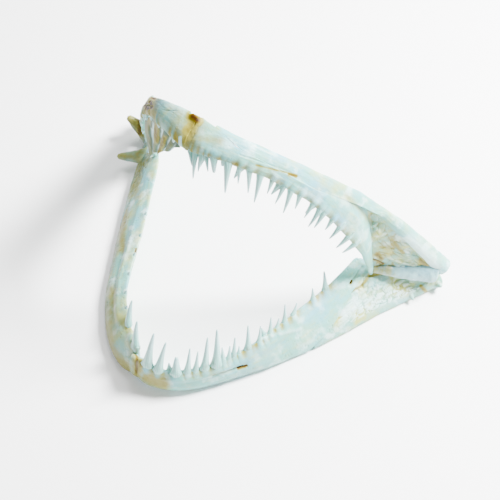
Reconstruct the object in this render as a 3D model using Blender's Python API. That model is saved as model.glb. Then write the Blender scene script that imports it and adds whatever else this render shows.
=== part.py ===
"""Jaws of a goosefish (Lophius), cleaned and dried, lying open on a level surface.

The lower jaw rests on the surface and the upper jaw is raised, as the two dried in place.
World axes: +X to the fish's left, -Y to its front, +Z up. All sizes below are millimetres.
Each jaw is laid out along an arch, a plan curve from the midline back to the jaw joint.
A place on a bone is given by its share of the arch's length, so both sides use one table.
"""
import math
import random

import bmesh
import bpy
import numpy as np

MM = 0.001
GAP = 0.3
SEED = 7

# Lower jaw: plan arch on the floor, as the four control points of one Bezier curve
LOWER_ARCH = ((0.0, -90.0), (35.0, -93.5), (48.5, -52.0), (95.0, 33.0))
LOWER_START = 0.012
LOWER_ARCHING = 1.2
# The jaw is worn flat where it touches the surface below it
REST_LEVEL = 0.3
# Rows of (share of arch length, value)
LOWER_DEPTH = ((0.0, 17.5), (0.05, 18.0), (0.11, 15.0), (0.26, 14.5), (0.37, 16.0), (0.48, 19.2),
               (0.58, 22.4), (0.68, 25.8), (0.78, 27.0), (0.86, 18.0), (0.93, 11.0), (1.0, 7.5))
LOWER_THICK = ((0.0, 9.0), (0.3, 8.0), (0.6, 7.5), (0.8, 6.5), (0.92, 7.0), (1.0, 8.0))
LEAN_LEFT = ((0.0, 8.0), (0.3, 12.5), (0.4, 24.0), (0.48, 34.0), (0.58, 41.5), (0.66, 44.5),
             (0.78, 45.0), (1.0, 38.0))
LEAN_RIGHT = ((0.0, 22.0), (0.1, 42.0), (0.3, 50.0), (0.5, 52.0), (0.78, 47.0), (1.0, 38.0))
RIGHT_DEEPER = ((0.0, 1.0), (0.12, 1.2), (0.5, 1.17), (0.7, 1.09), (0.8, 1.0))
# The dentary is forked behind: its upper limb lies over the wedge of the anguloarticular.
# The seam between them is a share of the depth.
SEAM = ((0.54, 0.0), (0.62, 0.22), (0.72, 0.60), (0.83, 0.80))
DENTARY_END = 0.81
ANGULAR_START = 0.57

# Outward spread of each half's foot beside the arch
SPREAD_LEFT = ((0.32, 0.0), (0.42, 1.8), (0.55, 2.3), (0.68, 1.5), (0.8, 0.0))
SPREAD_RIGHT = ((0.0, 0.0), (0.06, 1.8), (0.16, 2.2), (0.32, 0.8), (0.5, 0.0))

# Spines of the joint end: share of the arch, way added to straight outwards, length and radius
SPINES_LEFT = ((0.985, (0.0, 0.1, 0.35), 6.0, 2.4), (0.90, (0.0, -0.1, -0.3), 7.0, 2.0))
SPINES_RIGHT = ((0.955, (0.0, 0.2, 0.75), 18.5, 3.3), (0.855, (0.0, -0.35, 0.08), 19.0, 3.2))

# Upper jaw: a plane through the hinge line, raised by the gape
HINGE = (34.5, 14.5)
GAPE = math.radians(60.0)
UPPER_ARCH = ((0.0, 110.0), (34.0, 112.0), (52.0, 70.0), (95.0, 0.0))
UPPER_START = 0.010
# Drop is measured square to that plane, towards the lower jaw. The suture parts the two bones.
SUTURE = ((0.0, -8.6), (0.06, -7.6), (0.14, -4.6), (0.4, -4.6), (0.55, -7.4), (0.65, -8.0))
PREMAXILLA_END = 0.82
PREMAXILLA_INSET = ((0.5, 0.0), (0.6, 1.5), (0.7, 6.0), (0.82, 15.3))
PREMAXILLA_TOP = ((0.60, -7.7), (0.65, -3.0), (0.71, 4.0), (0.78, 11.5), (0.82, 15.4))
PREMAXILLA_ROOT = ((0.0, 6.5), (0.12, 3.0), (0.25, 0.6), (0.4, 1.3), (0.5, 3.8), (0.6, 7.4),
                   (0.7, 11.5), (0.78, 15.8), (0.82, 18.4))
PREMAXILLA_THICK = ((0.0, 7.0), (0.3, 5.5), (0.6, 4.5), (0.78, 2.6), (0.82, 2.0))
MAXILLA_START = 0.05
MAXILLA_TOP = ((0.0, -8.8), (0.05, -8.8), (0.1, -8.8), (0.3, -11.0), (0.55, -13.0), (0.75, -11.0),
               (0.9, -7.8), (1.0, -5.5))
MAXILLA_FOOT = ((0.65, -8.0), (0.8, -3.5), (0.9, 0.0), (1.0, 3.0))
MAXILLA_THICK = ((0.0, 6.0), (0.3, 4.5), (0.7, 4.0), (0.9, 5.0), (1.0, 8.0))

# Dried skin in the corners of the mouth
MEMBRANE_THICK = 0.7
MEMBRANE_CLEAR = 0.8

# The right half's hanging skin: its depth and its lean to the throat by share of the arch
GUM_HANG = ((0.05, 1.5), (0.15, 8.0), (0.3, 13.0), (0.5, 13.0), (0.65, 9.0), (0.8, 2.0))
GUM_LEAN = ((0.05, 1.5), (0.15, 7.0), (0.3, 10.0), (0.5, 10.0), (0.65, 6.0), (0.8, 2.0))

# Half widths of the gristle that joins the two halves of each jaw at the midline
LOWER_PAD_HALF = 1.5
UPPER_PAD_HALF = 0.95

# Gristle of the jaw joint
PAD_FORE = (75.5, 19.5, 15.4)
PAD_REAR = (88.5, 31.5, 12.6)
PAD_HALF = 3.0
PAD_FLATNESS = 0.55

# Teeth: share of arch length, length; the lean towards the throat is set per row
LOWER_TEETH_LEFT = ((0.045, 14.5), (0.09, 14.0), (0.15, 6.5), (0.186, 13.0), (0.211, 11.5),
                    (0.24, 17.5), (0.277, 19.5), (0.298, 9.0), (0.318, 7.5), (0.340, 10.5),
                    (0.377, 13.0), (0.415, 9.0), (0.455, 9.5), (0.483, 6.0), (0.511, 10.0),
                    (0.55, 8.0), (0.614, 7.5), (0.656, 11.0))
LOWER_TEETH_RIGHT = ((0.025, 5.0), (0.068, 15.0), (0.122, 15.0), (0.22, 2.6), (0.29, 2.4), (0.36, 2.6),
                     (0.43, 2.2), (0.5, 2.4), (0.58, 2.0))
UPPER_TEETH_LEFT = ((0.024, 11.5), (0.045, 8.0), (0.066, 8.0), (0.088, 8.0), (0.125, 15.0),
                    (0.156, 8.5), (0.187, 11.5), (0.224, 14.5), (0.262, 8.0), (0.300, 9.5),
                    (0.332, 12.0), (0.366, 7.0), (0.415, 8.0), (0.446, 9.5), (0.474, 8.5),
                    (0.503, 6.5), (0.543, 7.5), (0.593, 8.0), (0.636, 7.5))
UPPER_TEETH_RIGHT = ((0.06, 2.0), (0.16, 2.0), (0.26, 2.4), (0.35, 3.5), (0.42, 4.5), (0.49, 5.0),
                     (0.56, 4.5), (0.64, 4.5), (0.71, 4.0))
TOOTH_SIDES = 6
TOOTH_ROOT = 2.2
TOOTH_GIRTH = 0.125
LOWER_TOOTH_LEAN = math.radians(26.0)
UPPER_TOOTH_LEAN = math.radians(24.0)
# Where a tooth stands across the upper rim, as a share of its thickness, left and right
UPPER_TOOTH_SET = (0.5, 0.32)
# Swing of a row's tips towards the joint, at its front and behind
LOWER_SWING = ((0.0, 6.0), (0.2, 12.0), (0.4, 12.0), (0.65, 2.0))
UPPER_SWING = ((0.0, 18.0), (0.3, 20.0), (0.5, 10.0), (0.65, -6.0))

RING_POINTS = 14
ARCH_SAMPLES = 400


class Arch:
    """A plan curve read by share of its length: places, and directions square to it."""

    def __init__(self, control):
        u = np.linspace(0.0, 1.0, ARCH_SAMPLES)[:, None]
        a, b, c, d = (np.array(p) for p in control)
        self.points = (1 - u) ** 3 * a + 3 * u * (1 - u) ** 2 * b + 3 * u * u * (1 - u) * c + u ** 3 * d
        steps = np.linalg.norm(np.diff(self.points, axis=0), axis=1)
        self.length = steps.sum()
        self.share = np.concatenate(([0.0], np.cumsum(steps))) / self.length

    def at(self, share):
        return np.array([np.interp(share, self.share, self.points[:, i]) for i in (0, 1)])

    def along(self, share):
        step = 0.01
        way = self.at(min(share + step, 1.0)) - self.at(max(share - step, 0.0))
        return way / np.linalg.norm(way)


LOWER = Arch(LOWER_ARCH)
UPPER = Arch(UPPER_ARCH)


def read(table, share):
    """The value of a table of (share, value) rows at one share."""
    return float(np.interp(share, [row[0] for row in table], [row[1] for row in table]))


def lower_depth(side, share):
    """Depth of the lower jaw's blade: the right one is seen rolled over and a little deeper."""
    return read(LOWER_DEPTH, share) * (read(RIGHT_DEEPER, share) if side < 0 else 1.0)


def lower_frame(side, share):
    """Foot of the lower jaw's outer face, its direction up the face and the way through the bone."""
    x, y = LOWER.at(share)
    tx, ty = LOWER.along(share)
    inward = np.array([-ty, tx, 0.0])
    spread = read(SPREAD_LEFT if side > 0 else SPREAD_RIGHT, share)
    lean = math.radians(read(LEAN_LEFT if side > 0 else LEAN_RIGHT, share))
    rise = inward * math.sin(lean) + np.array([0.0, 0.0, math.cos(lean)])
    through = inward * math.cos(lean) - np.array([0.0, 0.0, math.sin(lean)])
    lift = read(LOWER_THICK, share) * 0.5 * math.sin(lean) + LOWER_ARCHING * math.sin(math.pi * share)
    return np.array([x, y, lift]) - inward * spread, rise, through, inward


def upper_frame(share, inset=0.0):
    """Place on the upper jaw's plane, its direction of drop, and the inward direction."""
    x, t = UPPER.at(share)
    tx, tt = UPPER.along(share)
    reach = np.array([0.0, -math.cos(GAPE), math.sin(GAPE)])
    drop = np.array([0.0, -math.sin(GAPE), -math.cos(GAPE)])
    across = np.array([1.0, 0.0, 0.0])
    place = np.array([0.0, HINGE[0], HINGE[1]]) + across * x + reach * t
    inward = across * tt - reach * tx
    return place + inward * inset, drop, inward


def lower_ring(share, frame, depth, low, high):
    """A ring of the lower jaw, flattened at the level on which the jaw rests."""
    foot, rise, through, _ = frame
    ring = blade_ring(foot, rise, through, depth, low, high, read(LOWER_THICK, share))
    ring[:, 2] = np.maximum(ring[:, 2], REST_LEVEL)
    return ring


def blade_ring(foot, rise, through, depth, low, high, thick, rim_share=0.6):
    """A closed ring round the part of a blade from low to high, as shares of its depth.

    The whole blade is rounded at foot and rim and thickest low down, with its outer face at
    depth 0, so a ring that stops at a seam is cut flat there and its neighbour goes on from it.
    """
    count = RING_POINTS // 2
    step = 0.5 - 0.5 * np.cos(np.linspace(0.06, 0.94, count) * math.pi)
    step = (step - step[0]) / (step[-1] - step[0])
    share = np.clip(low + (high - low) * step, 0.012, 0.988)
    girth = thick * (rim_share + (1 - rim_share) * (1 - share))
    spread = np.sqrt(share * (1 - share))
    outer = girth * (0.5 - spread)
    inner = girth * (0.5 + spread)
    climb = np.concatenate((share, share[::-1])) * depth
    depths = np.concatenate((outer, inner[::-1]))
    return foot + climb[:, None] * rise + depths[:, None] * through


def mirrored(points, side):
    """The points on the fish's left (side 1) or mirrored to its right (side -1)."""
    return np.asarray(points, float) * np.array([side, 1.0, 1.0])


def loft(rings, side=1, domes=(0.05, 0.35)):
    """Vertices and triangles of a closed body through equal rings, its front and rear ends domed."""
    rings = [mirrored(ring, side) for ring in rings]
    count = len(rings[0])
    verts = [v for ring in rings for v in ring]
    faces = []
    for r in range(len(rings) - 1):
        for k in range(count):
            a, b = r * count + k, r * count + (k + 1) % count
            c, d = a + count, b + count
            faces += [(a, b, c), (b, d, c)]
    last = (len(rings) - 1) * count
    for ring, base, inner, dome in ((rings[0], 0, rings[1], domes[0]), (rings[-1], last, rings[-2], domes[1])):
        centre = ring.mean(axis=0)
        outward = centre - inner.mean(axis=0)
        outward = outward / np.linalg.norm(outward)
        size = np.linalg.norm(ring - centre, axis=1).mean()
        verts.append(centre + outward * size * dome)
        tip = len(verts) - 1
        for k in range(count):
            pair = (base + k, base + (k + 1) % count)
            faces.append((pair[0], pair[1], tip) if base == 0 else (pair[1], pair[0], tip))
    return np.array(verts), faces


def horn(base, way, bend, length, radius, root, sides=TOOTH_SIDES):
    """A curved cone: a ring sunk below the base, flared at the gum line and drawn out to a point."""
    way = way / np.linalg.norm(way)
    helper = np.array([0.0, 0.0, 1.0]) if abs(way[2]) < 0.9 else np.array([1.0, 0.0, 0.0])
    one = np.cross(way, helper)
    one /= np.linalg.norm(one)
    two = np.cross(way, one)
    levels = ((-root, 1.0), (0.0, 1.0), (0.35 * length, 0.62), (0.72 * length, 0.36))
    rings = []
    for along, share in levels:
        t = max(along, 0.0) / length
        middle = base + way * along + bend * t * t * length
        angle = np.arange(sides) * 2 * math.pi / sides
        rings.append(middle + radius * share * (np.cos(angle)[:, None] * one + np.sin(angle)[:, None] * two))
    verts = [v for ring in rings for v in ring]
    faces = []
    for r in range(len(rings) - 1):
        for k in range(sides):
            a, b = r * sides + k, r * sides + (k + 1) % sides
            faces += [(a, b, a + sides), (b, b + sides, a + sides)]
    verts.append(base + way * length + bend * length)
    verts.append(base - way * root)
    last = (len(rings) - 1) * sides
    for k in range(sides):
        faces.append((last + k, last + (k + 1) % sides, len(verts) - 2))
        faces.append(((k + 1) % sides, k, len(verts) - 1))
    return np.array(verts), faces


def material(name, colour, rough):
    """A Principled material with one colour and roughness."""
    made = bpy.data.materials.new(name)
    made.use_nodes = True
    shader = made.node_tree.nodes["Principled BSDF"]
    shader.inputs["Base Color"].default_value = (*colour, 1.0)
    shader.inputs["Roughness"].default_value = rough
    shader.inputs["Metallic"].default_value = 0.0
    return made


def body(name, verts, faces):
    """A mesh object from vertices in millimetres, with its faces turned outwards."""
    mesh = bpy.data.meshes.new(name)
    mesh.from_pydata((np.asarray(verts) * MM).tolist(), [], faces)
    work = bmesh.new()
    work.from_mesh(mesh)
    bmesh.ops.recalc_face_normals(work, faces=work.faces)
    work.to_mesh(mesh)
    work.free()
    made = bpy.data.objects.new(name, mesh)
    bpy.context.scene.collection.objects.link(made)
    return made


def fuse(target, extras):
    """Joins closed pieces to the target in one union and keeps its largest closed surface."""
    group = bpy.data.collections.new(target.name + "_extras")
    bpy.context.scene.collection.children.link(group)
    for index, (verts, faces) in enumerate(extras):
        piece = body(f"{target.name}_extra_{index}", verts, faces)
        bpy.context.scene.collection.objects.unlink(piece)
        group.objects.link(piece)
    union = target.modifiers.new("Union", "BOOLEAN")
    union.operation = "UNION"
    union.operand_type = "COLLECTION"
    union.collection = group
    union.solver = "EXACT"
    bpy.context.view_layer.update()
    joined = bpy.data.meshes.new_from_object(target.evaluated_get(bpy.context.evaluated_depsgraph_get()))
    target.modifiers.remove(union)
    for piece in list(group.objects):
        bpy.data.objects.remove(piece)
    bpy.data.collections.remove(group)
    work = bmesh.new()
    work.from_mesh(joined)
    bmesh.ops.triangulate(work, faces=work.faces)
    keep_largest(work)
    work.to_mesh(joined)
    work.free()
    target.data = joined


def keep_largest(work):
    """Drops every closed surface of a bmesh but the one with most faces."""
    left = set(work.faces)
    shells = []
    while left:
        stack = [left.pop()]
        shell = set(stack)
        while stack:
            for edge in stack.pop().edges:
                for face in edge.link_faces:
                    if face not in shell:
                        shell.add(face)
                        left.discard(face)
                        stack.append(face)
        shells.append(shell)
    shells.sort(key=len, reverse=True)
    drop = [face for shell in shells[1:] for face in shell]
    if drop:
        bmesh.ops.delete(work, geom=drop, context="FACES")


def side_name(side):
    return "left" if side > 0 else "right"


def dentary(side):
    """Tooth-bearing bone of the lower jaw: a leaning blade that narrows to its upper limb behind."""
    rings = []
    for share in np.linspace(LOWER_START, DENTARY_END, 27):
        depth = lower_depth(side, share)
        low = read(SEAM, share) + (0.5 * GAP / depth if share > SEAM[0][0] else 0.0)
        rings.append(lower_ring(share, lower_frame(side, share), depth, low, 1.0))
    node = body("dentary_" + side_name(side), *loft(rings, side, (0.05, 0.2)))
    fuse(node, lower_teeth(side))
    return node


def lower_teeth(side):
    """Curved cones along the rim, leaning to the throat and, at the front, backwards."""
    draw = random.Random(SEED + side)
    teeth = []
    for share, length in (LOWER_TEETH_LEFT if side > 0 else LOWER_TEETH_RIGHT):
        foot, rise, through, inward = lower_frame(side, share)
        base = foot + rise * (lower_depth(side, share) - 0.6) + through * read(LOWER_THICK, share) * 0.27
        lean = LOWER_TOOTH_LEAN + math.radians(draw.uniform(-4.0, 4.0))
        swing = math.radians(read(LOWER_SWING, share) + draw.uniform(-4.0, 4.0))
        upright = np.array([0.0, 0.0, math.cos(lean)]) + inward * math.sin(lean)
        rearward = np.append(LOWER.along(share), 0.0)
        way = upright * math.cos(swing) + rearward * math.sin(swing)
        bend = inward * 0.08
        radius = max(0.9, length * TOOTH_GIRTH) if length > 3 else 1.5
        verts, faces = horn(base, way, bend, length, radius, TOOTH_ROOT)
        teeth.append((mirrored(verts, side), faces))
    return teeth


def anguloarticular(side):
    """Wedge behind the dentary, running back to the joint, with its spines fused on."""
    rings = []
    for share in np.linspace(ANGULAR_START, 1.0, 24):
        depth = lower_depth(side, share)
        top = read(SEAM, share) - 0.5 * GAP / depth
        if share > DENTARY_END + 0.015:
            top = 1.0
        rings.append(lower_ring(share, lower_frame(side, share), depth, 0.0, top))
    node = body("anguloarticular_" + side_name(side), *loft(rings, side))
    spines = []
    for share, way, length, radius in (SPINES_LEFT if side > 0 else SPINES_RIGHT):
        foot, rise, through, inward = lower_frame(side, share)
        base = foot + rise * 0.45 * lower_depth(side, share) + through * 3.0
        spines.append((base, np.array(way) - inward, length, radius))
    extras = []
    for base, way, length, radius in spines:
        verts, faces = horn(base, way, np.zeros(3), length, radius, 0.5, 8)
        extras.append((mirrored(verts, side), faces))
    fuse(node, extras)
    return node


def premaxilla(side):
    """Tooth-bearing bone of the upper jaw: a curved band whose tip drops outside the lower jaw."""
    rings = []
    for share in np.linspace(UPPER_START, PREMAXILLA_END, 28):
        place, drop, inward = upper_frame(share, read(PREMAXILLA_INSET, share))
        top = read(SUTURE, share) + 0.5 * GAP
        if share > PREMAXILLA_TOP[0][0]:
            top = read(PREMAXILLA_TOP, share) + 0.5 * GAP
        root = read(PREMAXILLA_ROOT, share)
        rings.append(blade_ring(place + drop * root, -drop, inward, root - top, 0.0, 1.0,
                                read(PREMAXILLA_THICK, share), 0.8))
    node = body("premaxilla_" + side_name(side), *loft(rings, side))
    fuse(node, upper_teeth(side))
    return node


def upper_teeth(side):
    """Curved cones hanging from the band's lower edge, leaning to the throat."""
    draw = random.Random(SEED * 3 + side)
    teeth = []
    for share, length in (UPPER_TEETH_LEFT if side > 0 else UPPER_TEETH_RIGHT):
        place, drop, inward = upper_frame(share, read(PREMAXILLA_INSET, share))
        set_in = UPPER_TOOTH_SET[0] if side > 0 else UPPER_TOOTH_SET[1]
        base = place + drop * (read(PREMAXILLA_ROOT, share) - 0.7) + inward * read(PREMAXILLA_THICK, share) * set_in
        lean = (UPPER_TOOTH_LEAN if side > 0 else 0.0) + math.radians(draw.uniform(-4.0, 4.0))
        swing = math.radians(read(UPPER_SWING, share) + draw.uniform(-4.0, 4.0))
        hanging = drop * math.cos(lean) + inward * math.sin(lean)
        way = hanging * math.cos(swing) + np.cross(drop, inward) * math.sin(swing)
        bend = inward * 0.08
        radius = max(0.85, length * TOOTH_GIRTH) if length > 3 else 1.3
        verts, faces = horn(base, way, bend, length, radius, TOOTH_ROOT)
        teeth.append((mirrored(verts, side), faces))
    return teeth


def maxilla(side):
    """Slim toothless bar along the top of the upper jaw, swelling to the joint behind."""
    rings = []
    for share in np.linspace(MAXILLA_START, 1.0, 26):
        place, drop, inward = upper_frame(share)
        top = read(MAXILLA_TOP, share)
        foot = read(SUTURE if share < SUTURE[-1][0] else MAXILLA_FOOT, share) - 0.5 * GAP
        rings.append(blade_ring(place + drop * foot, -drop, inward, foot - top, 0.0, 1.0,
                                read(MAXILLA_THICK, share), 0.9))
    return body("maxilla_" + side_name(side), *loft(rings, side))


def symphysis_pad(name, frame, depth, thick, half):
    """A pad of dried gristle that fills the midline between two bones."""
    foot, rise, through = frame
    rings = []
    for x in np.linspace(-half, half, 3):
        ring = blade_ring(foot, rise, through, depth, 0.0, 1.0, thick, 0.8)
        ring[:, 0] = x
        ring[:, 2] = np.maximum(ring[:, 2], REST_LEVEL)
        rings.append(ring)
    return body(name, *loft(rings, 1, (0.0, 0.0)))


def sheet(name, grid, thick):
    """A closed thin sheet from a grid of points, its two faces split into triangles alike."""
    grid = np.asarray(grid, float)
    along = np.gradient(grid, axis=0)
    across = np.gradient(grid, axis=1)
    normal = np.cross(along, across)
    normal /= np.linalg.norm(normal, axis=2)[:, :, None]
    rows, cols = grid.shape[:2]
    front = (grid + normal * thick / 2).reshape(-1, 3)
    back = (grid - normal * thick / 2).reshape(-1, 3)
    count = rows * cols
    faces = []
    for r in range(rows - 1):
        for c in range(cols - 1):
            a, b = r * cols + c, r * cols + c + 1
            d, e = a + cols, b + cols
            faces += [(a, d, b), (b, d, e), (count + a, count + b, count + d), (count + b, count + e, count + d)]
    rim = [c for c in range(cols)] + [r * cols + cols - 1 for r in range(1, rows)]
    rim += [(rows - 1) * cols + c for c in range(cols - 2, -1, -1)] + [r * cols for r in range(rows - 2, 0, -1)]
    for k, a in enumerate(rim):
        b = rim[(k + 1) % len(rim)]
        faces += [(a, b, count + a), (b, count + b, count + a)]
    return body(name, np.concatenate((front, back)), faces)


def corner_membrane(side):
    """Dried skin that fills the corner between the premaxilla's tip, the maxilla and the joint."""
    rows = []
    for t in np.linspace(0.0, 1.0, 17):
        near_share = 0.615 + (0.812 - 0.615) * t
        place, drop, inward = upper_frame(near_share, read(PREMAXILLA_INSET, near_share))
        near = place + drop * (read(PREMAXILLA_TOP, near_share) - MEMBRANE_CLEAR)
        near = near + inward * read(PREMAXILLA_THICK, near_share) * 0.5
        far_share = 0.63 + (0.95 - 0.63) * t
        place, drop, inward = upper_frame(far_share)
        far = place + drop * (read(MAXILLA_FOOT, far_share) + MEMBRANE_CLEAR)
        far = far + inward * read(MAXILLA_THICK, far_share) * 0.5
        rows.append([near + (far - near) * u for u in np.linspace(0.0, 1.0, 8)])
    grid = mirrored(np.array(rows), side)
    return sheet("corner_membrane_" + side_name(side), grid, MEMBRANE_THICK)


def gum_membrane():
    """Dried skin that hangs inside the right half's row of teeth and narrows to the mouth's corner."""
    rows = []
    for share in np.linspace(GUM_HANG[0][0], GUM_HANG[-1][0], 25):
        place, drop, inward = upper_frame(share, read(PREMAXILLA_INSET, share))
        top = place + drop * (read(PREMAXILLA_ROOT, share) + MEMBRANE_CLEAR)
        top = top + inward * read(PREMAXILLA_THICK, share) * 0.9
        free = drop * read(GUM_HANG, share) + inward * read(GUM_LEAN, share)
        rows.append([top + free * u for u in np.linspace(0.0, 1.0, 6)])
    return sheet("gum_membrane_right", mirrored(np.array(rows), -1), MEMBRANE_THICK)


def joint_pad(side):
    """Block of dried gristle between the rear end of the maxilla and the lower jaw's joint."""
    fore, rear = np.array(PAD_FORE), np.array(PAD_REAR)
    axis = (rear - fore) / np.linalg.norm(rear - fore)
    one = np.cross(axis, np.array([0.0, 0.0, 1.0]))
    one /= np.linalg.norm(one)
    two = np.cross(axis, one)
    angle = np.arange(RING_POINTS) * 2 * math.pi / RING_POINTS
    rings = []
    for t in np.linspace(0.0, 1.0, 6):
        size = PAD_HALF * (0.6 + 0.4 * math.sin(math.pi * t))
        around = np.cos(angle)[:, None] * one + PAD_FLATNESS * np.sin(angle)[:, None] * two
        rings.append(fore + (rear - fore) * t + size * around)
    return body("joint_pad_" + side_name(side), *loft(rings, side, (0.3, 0.3)))


def centre_on_floor(nodes):
    """Moves every mesh so that the whole stands on z = 0 with its box centred on the origin."""
    corners = np.array([v.co[:] for node in nodes for v in node.data.vertices])
    low, high = corners.min(axis=0), corners.max(axis=0)
    shift = np.array([-(low[0] + high[0]) / 2, -(low[1] + high[1]) / 2, -low[2]])
    for node in nodes:
        for vertex in node.data.vertices:
            vertex.co = vertex.co + type(vertex.co)(shift.tolist())


def main():
    for old in list(bpy.data.objects):
        bpy.data.objects.remove(old)
    bone = (0.78, 0.84, 0.80)
    cream = (0.80, 0.76, 0.62)
    tan = (0.72, 0.62, 0.40)
    nodes = []
    finishes = []
    for side in (1, -1):
        for make, colour in ((dentary, bone), (anguloarticular, cream), (premaxilla, bone), (maxilla, cream),
                             (corner_membrane, cream), (joint_pad, bone)):
            nodes.append(make(side))
            finishes.append(colour)
    nodes.append(gum_membrane())
    finishes.append(cream)
    foot, rise, through, _ = lower_frame(1, 0.0)
    nodes.append(symphysis_pad("lower_symphysis", (foot, rise, through), 15.5, 7.5, LOWER_PAD_HALF))
    place, drop, inward = upper_frame(0.0)
    nodes.append(symphysis_pad("upper_symphysis", (place + drop * 6.0, -drop, inward), 14.5, 6.5, UPPER_PAD_HALF))
    finishes += [tan, tan]
    for node, colour in zip(nodes, finishes):
        node.data.materials.clear()
        node.data.materials.append(material(node.name, colour, 0.45))
    centre_on_floor(nodes)


main()
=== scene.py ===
"""Dried jaws of a goosefish, lying open on a pale floor.

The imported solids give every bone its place. Here each bone, tooth and scrap of dried skin
gets its fine surface: numpy works out a grid of points from the same arches, depths and
seams, and detail is raised along the grid's normals. Sizes are in millimetres until a mesh is made.
"""
from math import cos, pi, radians, sin

import bpy
import numpy as np
from mathutils import Matrix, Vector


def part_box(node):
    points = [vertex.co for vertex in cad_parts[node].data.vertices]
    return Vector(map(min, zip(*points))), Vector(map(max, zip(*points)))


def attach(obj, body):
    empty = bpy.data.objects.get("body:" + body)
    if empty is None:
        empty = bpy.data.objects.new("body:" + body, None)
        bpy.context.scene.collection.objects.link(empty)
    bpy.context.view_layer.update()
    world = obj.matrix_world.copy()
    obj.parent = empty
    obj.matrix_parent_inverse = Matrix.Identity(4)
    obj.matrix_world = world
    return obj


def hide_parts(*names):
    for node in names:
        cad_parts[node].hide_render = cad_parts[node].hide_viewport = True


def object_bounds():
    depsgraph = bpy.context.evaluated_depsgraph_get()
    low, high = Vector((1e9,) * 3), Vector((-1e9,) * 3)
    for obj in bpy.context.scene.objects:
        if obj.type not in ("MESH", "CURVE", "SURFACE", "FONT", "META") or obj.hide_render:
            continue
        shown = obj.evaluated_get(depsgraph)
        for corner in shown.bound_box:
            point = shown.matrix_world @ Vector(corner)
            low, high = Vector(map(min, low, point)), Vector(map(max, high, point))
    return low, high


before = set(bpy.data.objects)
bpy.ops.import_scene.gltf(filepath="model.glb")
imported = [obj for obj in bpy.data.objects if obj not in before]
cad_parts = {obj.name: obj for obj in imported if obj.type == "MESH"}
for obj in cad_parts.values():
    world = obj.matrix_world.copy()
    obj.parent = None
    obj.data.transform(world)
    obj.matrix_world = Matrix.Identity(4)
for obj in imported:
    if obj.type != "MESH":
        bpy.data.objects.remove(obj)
CAD_BOX = [list(corner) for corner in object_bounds()]

MM = 0.001
# How far bones reach over a seam, how far a cut edge is rounded and the room left to the solids' box
OVERLAP = 0.05
EDGE_ROUND = 0.15
MARGIN = 0.01
TAU = 2 * pi
UPWARD = np.array([0, 0, 1])

# The two arches, as control points of Bezier curves, and the gape that parts them
LOWER_ARCH = ((0, -90), (35, -93.5), (48.5, -52), (95, 33))
UPPER_ARCH = ((0, 110), (34, 112), (52, 70), (95, 0))
HINGE = (34.5, 14.5)
GAPE = radians(60)
ARCH_SAMPLES = 400
REST_LEVEL = 0.3
LOWER_PAD_FRONT = 89.06

# Lower jaw: rows of (share of the arch, value)
LOWER_ARCHING = 1.2
LOWER_START = 0.012
DENTARY_END = 0.81
# Past this share the right half's tooth sockets show only so much of their tone
EVEN_RIM_FROM = 0.19
EVEN_RIM = 0.2
WEDGE_START = 0.57
LOWER_DEPTH = ((0, 17.5), (0.05, 18), (0.11, 15), (0.26, 14.5), (0.37, 16), (0.48, 19.2), (0.58, 22.4),
    (0.66, 24.8), (0.73, 28), (0.785, 31.3), (0.81, 28), (0.86, 18.4), (0.93, 11), (1, 7.5))
LOWER_THICK = ((0, 9), (0.3, 8), (0.6, 7.5), (0.8, 6.5), (0.92, 7), (1, 8))
LEAN_LEFT = ((0, 8), (0.3, 12.5), (0.4, 24), (0.48, 34), (0.58, 41.5), (0.66, 44.5), (0.78, 45), (1, 38))
LEAN_RIGHT = ((0, 22), (0.1, 42), (0.3, 50), (0.5, 52), (0.78, 47), (1, 38))
RIGHT_DEEPER = ((0, 1), (0.1, 1.26), (0.19, 1.34), (0.3, 1.2), (0.4, 1.17), (0.5, 1.1), (0.62, 1),
    (0.73, 0.89), (0.785, 0.77), (0.81, 0.82), (0.86, 1))
SEAM = ((0.54, 0), (0.62, 0.22), (0.72, 0.6), (0.83, 0.8))
SPREAD_LEFT = ((0.32, 0), (0.42, 1.8), (0.55, 2.3), (0.68, 1.5), (0.8, 0))
SPREAD_RIGHT = ((0, 0), (0.06, 0.6), (0.16, 0.2), (0.3, 1.1), (0.5, 1.6), (0.75, 2.4), (1, 0))

# Upper jaw: drop is measured square to the arch's plane, towards the lower jaw
UPPER_START = 0.01
SUTURE = ((0, -8.6), (0.06, -7.6), (0.14, -4.6), (0.4, -4.6), (0.55, -7.4), (0.65, -8))
UPPER_END = 0.82
# Shares between which the right half's upper bones pass out of the photograph's sight
OUT_OF_SIGHT, IN_SIGHT = 0.55, 0.42
UPPER_INSET = ((0.5, 0), (0.6, 1.5), (0.7, 6), (0.82, 15.3))
UPPER_TOP = ((0.6, -7.7), (0.65, -3), (0.71, 4), (0.78, 11.5), (0.82, 15.4))
UPPER_ROOT = ((0, 6.5), (0.12, 3), (0.25, 0.6), (0.4, 1.3), (0.5, 3.8), (0.6, 7.4), (0.7, 11.5),
    (0.78, 15.8), (0.82, 18.4))
UPPER_THICK = ((0, 7), (0.3, 5.5), (0.6, 4.5), (0.78, 2.6), (0.82, 2))
BAR_START = 0.05
BAR_TOP = ((0, -8.8), (0.1, -8.8), (0.3, -11), (0.55, -13), (0.75, -11), (0.9, -7.8), (1, -5.5))
BAR_FOOT = ((0.65, -8), (0.8, -3.5), (0.9, 0), (1, 3))
BAR_THICK = ((0, 6), (0.3, 4.5), (0.7, 4), (0.9, 5), (1, 8))
BAR_SAG_RIGHT = ((0.1, 0), (0.3, 3), (0.5, 4.6), (0.7, 3), (0.85, 1), (1, 0))

# Spines of the joint end: share of the arch, way added to straight outwards, length and radius
SPINES_LEFT = ((0.985, (0, 0.1, 0.35), 6, 3), (0.9, (0, -0.1, -0.3), 7, 2.3))
SPINES_RIGHT = ((0.955, (0, 0.25, 0.95), 17.5, 6.4), (0.855, (0, -0.25, 0.18), 17, 5.4))

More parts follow.
